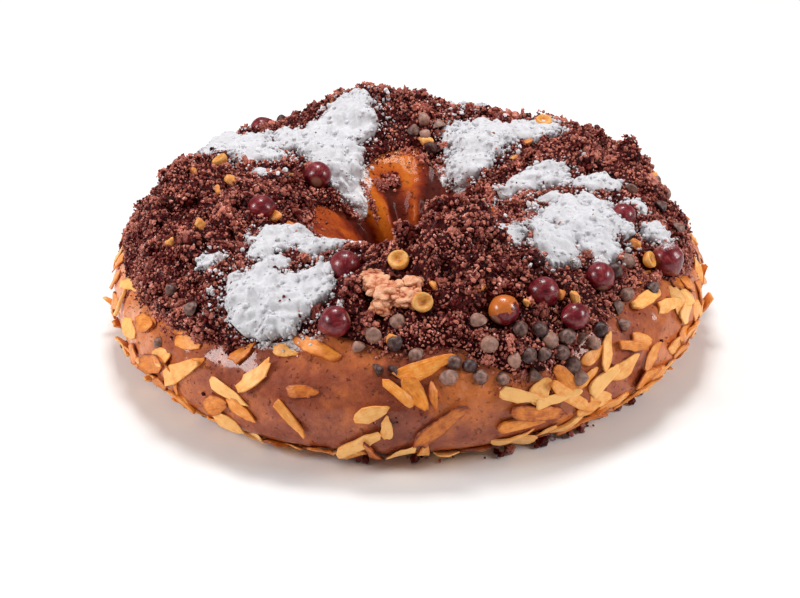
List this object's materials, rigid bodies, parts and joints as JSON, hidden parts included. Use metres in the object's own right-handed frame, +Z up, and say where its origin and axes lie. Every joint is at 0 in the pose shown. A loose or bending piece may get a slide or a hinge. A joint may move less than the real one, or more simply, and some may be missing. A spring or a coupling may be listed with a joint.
{
  "type": "roscon de reyes",
  "caption": "Glazed ring of sweet bread with an open hole, covered with chocolate crumb, heaps of icing sugar, whole hazelnuts, chocolate chips and flaked almonds; lies on its flat underside",
  "frame": {"origin": "on the flat underside, under the middle of the ring's bounding box", "axes": "+Z up through the hole, +X to the right and -Y towards the side shown in the picture"},
  "size_m": [0.2829, 0.2849, 0.0887],
  "materials": {
    "golden_crust": "baked and glazed sweet bread crust, satin to glossy",
    "chocolate_crumb": "dry, porous chocolate cake crumb, matt",
    "icing_sugar": "loose white powder, matt",
    "hazelnut_skin": "glazed hazelnut skin, glossy",
    "toasted_almond": "toasted almond, satin"
  },
  "bodies": {
    "root": {"almond_flake_01": "toasted_almond", "almond_flake_02": "toasted_almond", "almond_flake_03": "toasted_almond", "almond_flake_04": "toasted_almond", "almond_flake_05": "toasted_almond", "almond_flake_06": "toasted_almond", "almond_flake_07": "toasted_almond", "almond_flake_08": "toasted_almond", "almond_flake_09": "toasted_almond", "almond_flake_10": "toasted_almond", "almond_flake_11": "toasted_almond", "almond_flake_12": "toasted_almond", "almond_flake_13": "toasted_almond", "almond_flake_14": "toasted_almond", "almond_flake_15": "toasted_almond", "almond_flake_16": "toasted_almond", "almond_flake_17": "toasted_almond", "almond_flake_18": "toasted_almond", "almond_flake_19": "toasted_almond", "almond_flake_20": "toasted_almond", "almond_flake_21": "toasted_almond", "almond_flake_22": "toasted_almond", "almond_flake_23": "toasted_almond", "almond_flake_24": "toasted_almond", "almond_flake_25": "toasted_almond", "almond_flake_26": "toasted_almond", "almond_flake_27": "toasted_almond", "almond_flake_28": "toasted_almond", "bread_ring": "golden_crust", "crumb_topping": "chocolate_crumb", "hazelnut_01": "hazelnut_skin", "hazelnut_02": "hazelnut_skin", "hazelnut_03": "hazelnut_skin", "hazelnut_04": "hazelnut_skin", "hazelnut_05": "hazelnut_skin", "hazelnut_06": "hazelnut_skin", "hazelnut_07": "hazelnut_skin", "hazelnut_08": "hazelnut_skin", "hazelnut_09": "hazelnut_skin", "hazelnut_10": "hazelnut_skin", "hazelnut_11": "hazelnut_skin", "hazelnut_12": "hazelnut_skin", "hazelnut_13": "hazelnut_skin", "hazelnut_14": "hazelnut_skin", "hazelnut_15": "hazelnut_skin", "sugar_heap_1": "icing_sugar", "sugar_heap_10": "icing_sugar", "sugar_heap_2": "icing_sugar", "sugar_heap_3": "icing_sugar", "sugar_heap_4": "icing_sugar", "sugar_heap_5": "icing_sugar", "sugar_heap_6": "icing_sugar", "sugar_heap_7": "icing_sugar", "sugar_heap_8": "icing_sugar", "sugar_heap_9": "icing_sugar"}
  },
  "joints": []
}
